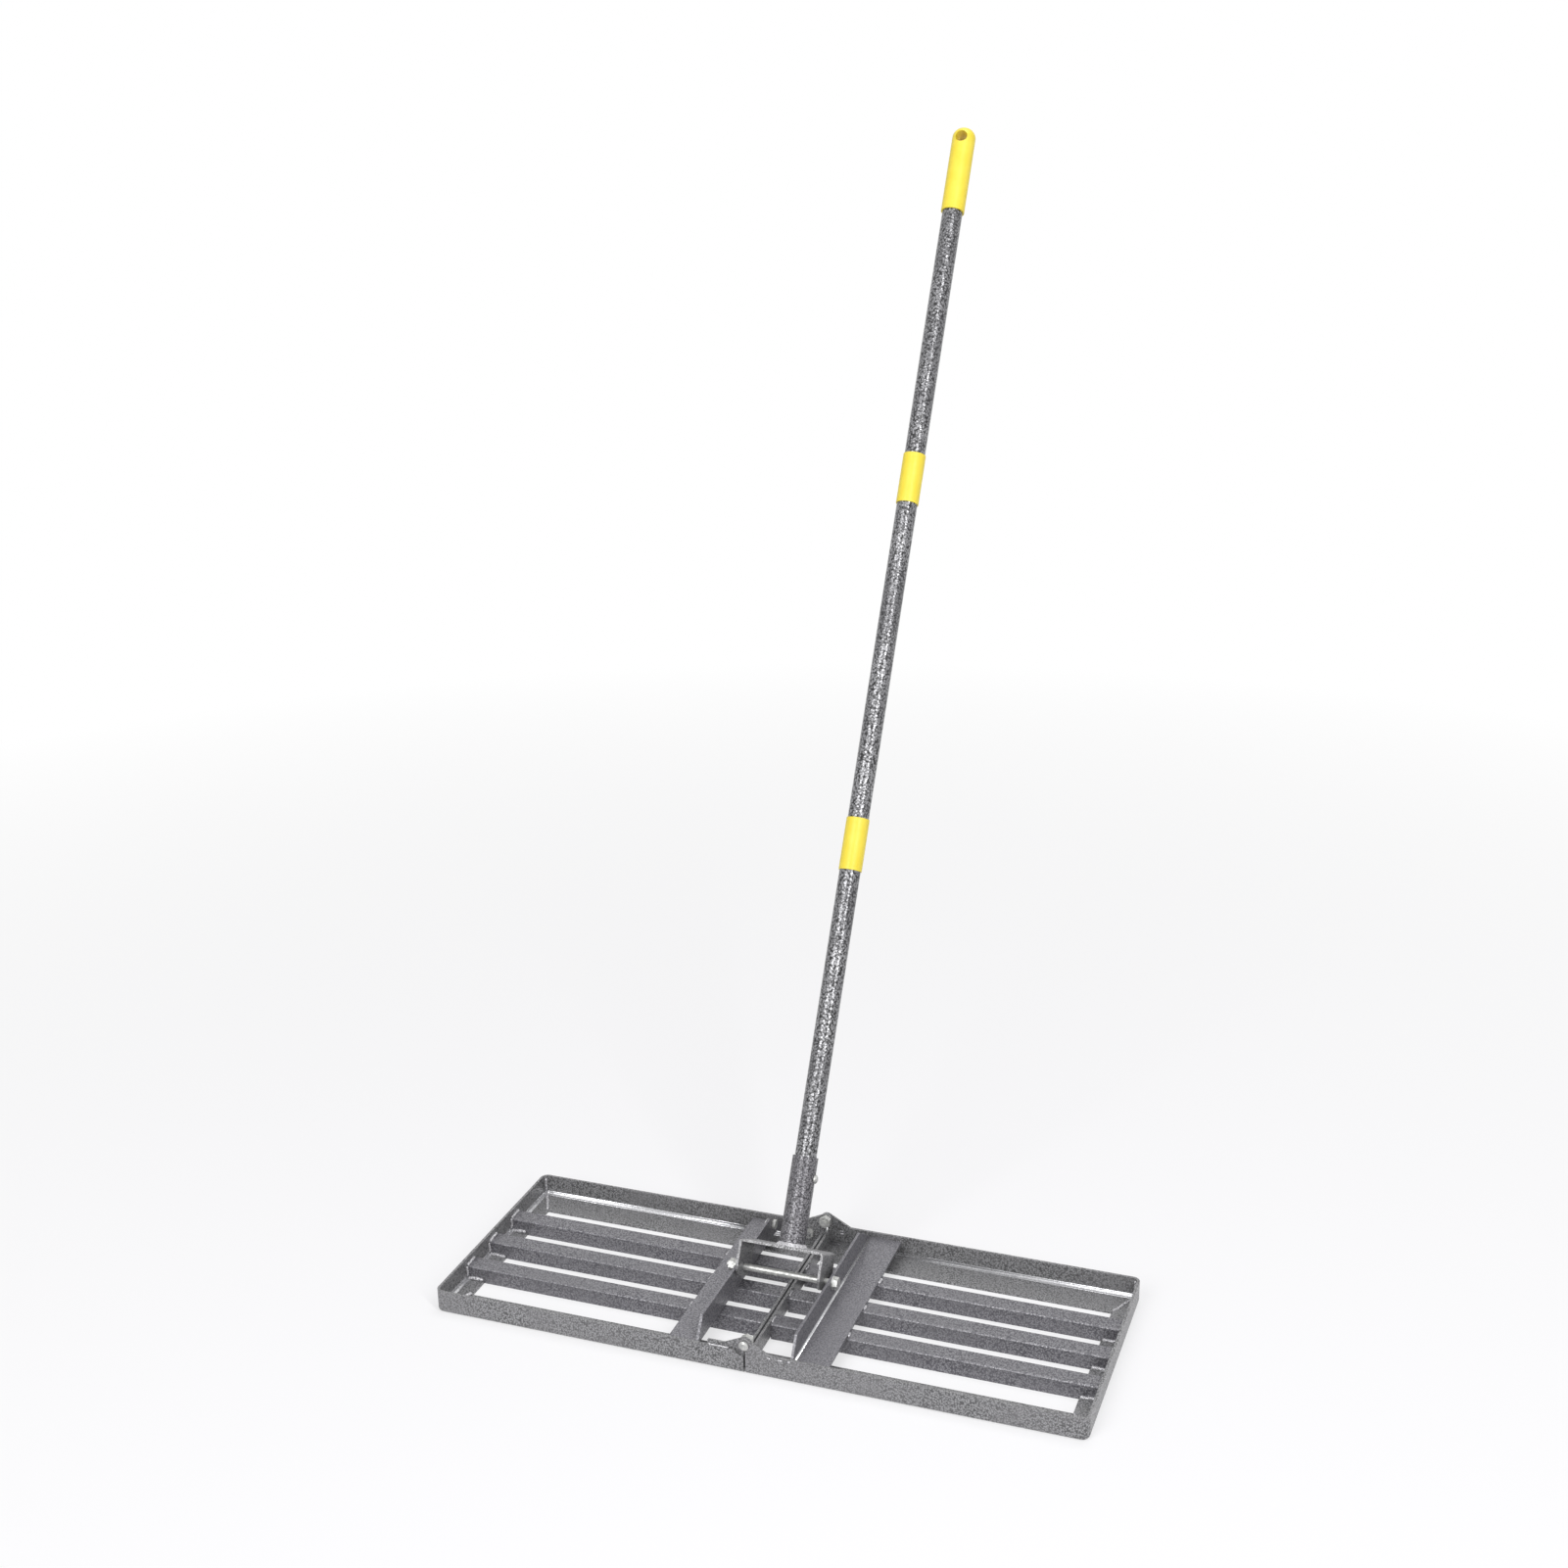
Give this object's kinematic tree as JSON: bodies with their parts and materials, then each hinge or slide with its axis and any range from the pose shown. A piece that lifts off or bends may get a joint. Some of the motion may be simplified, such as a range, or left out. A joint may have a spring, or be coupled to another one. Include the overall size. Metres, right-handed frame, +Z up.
{
  "type": "folding levelling rake",
  "caption": "Long-handled levelling rake: a flat folding steel frame with cross bars, bolted at its middle to a leaning three-piece pole with a soft grip.",
  "frame": {"origin": "the point on the ground plane midway between the two halves and midway between the front and back walls", "axes": "+X along the frame towards the half that carries the pivot bolt's head, +Y from the front wall to the back wall, where the pole leans, +Z up from the ground"},
  "size_m": [0.762, 0.8645, 1.2802],
  "materials": {
    "coated_steel": "hammertone dark grey coat",
    "zinc": "bright zinc plate",
    "yellow_plastic": "soft satin",
    "black_plastic": "moulded"
  },
  "bodies": {
    "right_half": {"right_frame": "coated_steel", "right_end_plate": "coated_steel", "right_back_bar": "coated_steel", "right_middle_bar": "coated_steel", "right_front_bar": "coated_steel", "right_bracket": "coated_steel", "front_hinge_bolt": "zinc", "front_hinge_nut": "zinc", "back_hinge_bolt": "zinc", "back_hinge_nut": "zinc", "pivot_bolt": "zinc", "pivot_nut": "zinc", "pivot_nut_washer": "zinc", "pivot_spring_washer": "zinc", "pivot_head_washer": "zinc"},
    "left_half": {"left_frame": "coated_steel", "left_end_plate": "coated_steel", "left_back_bar": "coated_steel", "left_middle_bar": "coated_steel", "left_front_bar": "coated_steel", "left_bracket": "coated_steel", "front_hinge_leaf": "coated_steel", "back_hinge_leaf": "coated_steel", "front_leaf_studs": "coated_steel", "front_leaf_nuts": "zinc", "back_leaf_studs": "coated_steel", "back_leaf_nuts": "zinc", "left_bracket_bolt": "zinc", "left_bracket_nut": "zinc"},
    "pole": {"yoke": "coated_steel", "pole_socket": "coated_steel", "socket_weld": "coated_steel", "socket_screw": "zinc", "lower_tube": "coated_steel", "middle_tube": "coated_steel", "upper_tube": "coated_steel", "lower_joint_plug": "black_plastic", "upper_joint_plug": "black_plastic", "lower_sleeve": "yellow_plastic", "upper_sleeve": "yellow_plastic", "grip": "yellow_plastic"}
  },
  "joints": [
    {"name": "pole_tilt", "type": "hinge", "parent": "right_half", "child": "pole", "pos_m": [0, -0.002, 0.042], "axis": [-1, 0, 0], "range_deg": [-60, 35]},
    {"name": "plate_fold", "type": "hinge", "parent": "right_half", "child": "left_half", "pos_m": [0, 0, 0.0357], "axis": [0, 1, 0], "range_deg": [0, 0.6]}
  ]
}
